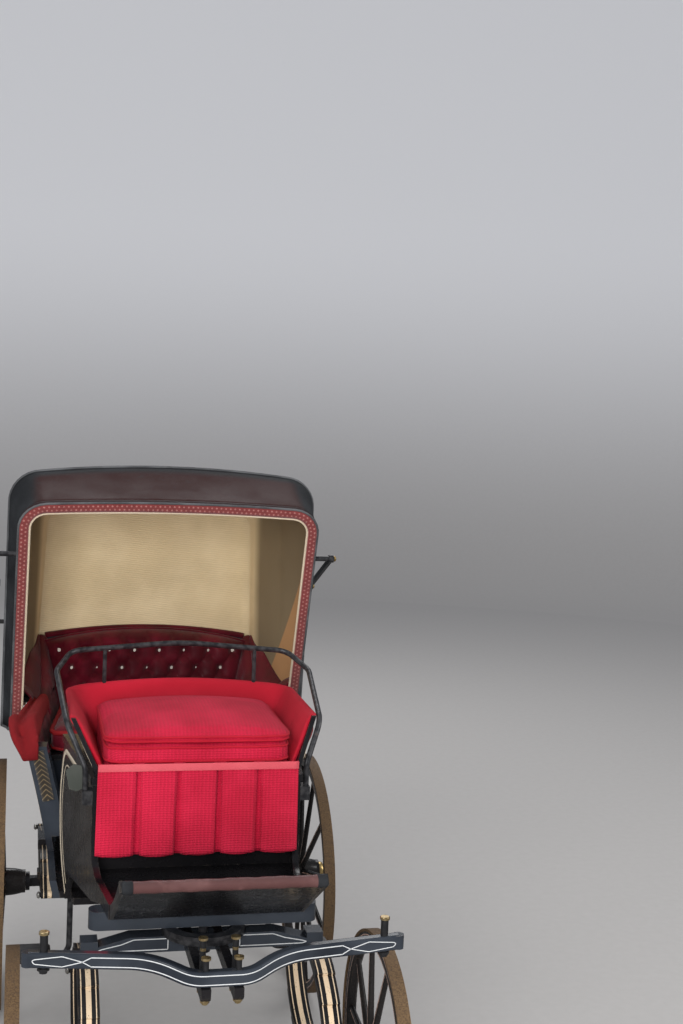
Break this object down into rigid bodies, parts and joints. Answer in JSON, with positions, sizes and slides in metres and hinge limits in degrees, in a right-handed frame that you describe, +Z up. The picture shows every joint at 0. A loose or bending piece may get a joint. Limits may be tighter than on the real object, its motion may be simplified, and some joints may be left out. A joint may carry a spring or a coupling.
{
  "type": "horse drawn carriage",
  "caption": "Pony-size victoria carriage with a folding hood over a low rear seat, a driver's seat on a boot, leaf springs and a steering fore-carriage.",
  "frame": {"origin": "on the floor under the middle of the whole carriage", "axes": "+Z up, the front faces -Y, +X is the right side as seen from in front"},
  "size_m": [0.814, 1.5308, 1.2459],
  "materials": {
    "black_paint": "gloss black coach paint",
    "blue_black_paint": "gloss blue-black coach paint",
    "black_iron": "black painted wrought iron",
    "tyre_iron": "worn brown iron",
    "wheel_wood": "black painted wheel wood",
    "hood_leather": "black enamelled leather",
    "roll_leather": "faded brown leather",
    "crimson_cloth": "crimson wool cloth",
    "maroon_leather": "deep maroon leather",
    "red_velvet": "red velvet",
    "steel_bolts": "bright steel with brass caps"
  },
  "bodies": {
    "body": {"boot_side_left": "black_paint", "boot_side_right": "black_paint", "boot_floor": "black_paint", "boot_front_panel": "black_paint", "boot_back_panel": "black_paint", "driver_seat_board": "black_paint", "driver_seat_shell": "black_paint", "driver_seat_lining": "crimson_cloth", "driver_cushion": "crimson_cloth", "seat_fall": "crimson_cloth", "seat_rail": "black_iron", "toe_board": "black_paint", "toe_roll": "roll_leather", "toe_brackets": "black_iron", "upper_transom": "blue_black_paint", "upper_ring": "black_iron", "quarter_panel_left": "blue_black_paint", "quarter_panel_right": "blue_black_paint", "back_panel": "blue_black_paint", "passenger_floor": "black_paint", "seat_riser": "blue_black_paint", "rear_seat_board": "black_paint", "rear_cushion": "maroon_leather", "rear_squab": "maroon_leather", "arm_pad_left": "red_velvet", "arm_pad_right": "red_velvet", "hood_shell": "hood_leather", "hood_joint_left": "black_iron", "hood_joint_right": "black_iron", "hood_pivots": "black_iron", "rear_axle": "black_iron", "rear_spring_left": "black_iron", "rear_spring_right": "black_iron", "rear_spring_blocks": "black_paint", "entry_steps": "black_iron"},
    "fore_carriage": {"front_axle": "black_iron", "front_spring_left": "black_iron", "front_spring_right": "black_iron", "lower_bed": "black_paint", "lower_ring": "black_iron", "king_pin": "black_iron", "futchell_left": "black_paint", "futchell_right": "black_paint", "splinter_bar": "black_paint", "trace_pins": "steel_bolts", "pole_bolts": "steel_bolts"},
    "front_wheel_left": {"front_wheel_left": "wheel_wood", "front_tyre_left": "tyre_iron"},
    "front_wheel_right": {"front_wheel_right": "wheel_wood", "front_tyre_right": "tyre_iron"},
    "rear_wheel_left": {"rear_wheel_left": "wheel_wood", "rear_tyre_left": "tyre_iron"},
    "rear_wheel_right": {"rear_wheel_right": "wheel_wood", "rear_tyre_right": "tyre_iron"}
  },
  "joints": [
    {"name": "steering", "type": "hinge", "parent": "body", "child": "fore_carriage", "pos_m": [0, -0.51118, 0.474], "axis": [0, 0, 1], "range_deg": [-40, 40]},
    {"name": "front_left_turn", "type": "hinge", "parent": "fore_carriage", "child": "front_wheel_left", "pos_m": [-0.33, -0.51118, 0.22], "axis": [1, 0, 0], "continuous": true},
    {"name": "front_right_turn", "type": "hinge", "parent": "fore_carriage", "child": "front_wheel_right", "pos_m": [0.33, -0.51118, 0.22], "axis": [1, 0, 0], "continuous": true},
    {"name": "rear_left_turn", "type": "hinge", "parent": "body", "child": "rear_wheel_left", "pos_m": [-0.36, 0.30882, 0.28], "axis": [1, 0, 0], "continuous": true},
    {"name": "rear_right_turn", "type": "hinge", "parent": "body", "child": "rear_wheel_right", "pos_m": [0.36, 0.30882, 0.28], "axis": [1, 0, 0], "continuous": true}
  ]
}
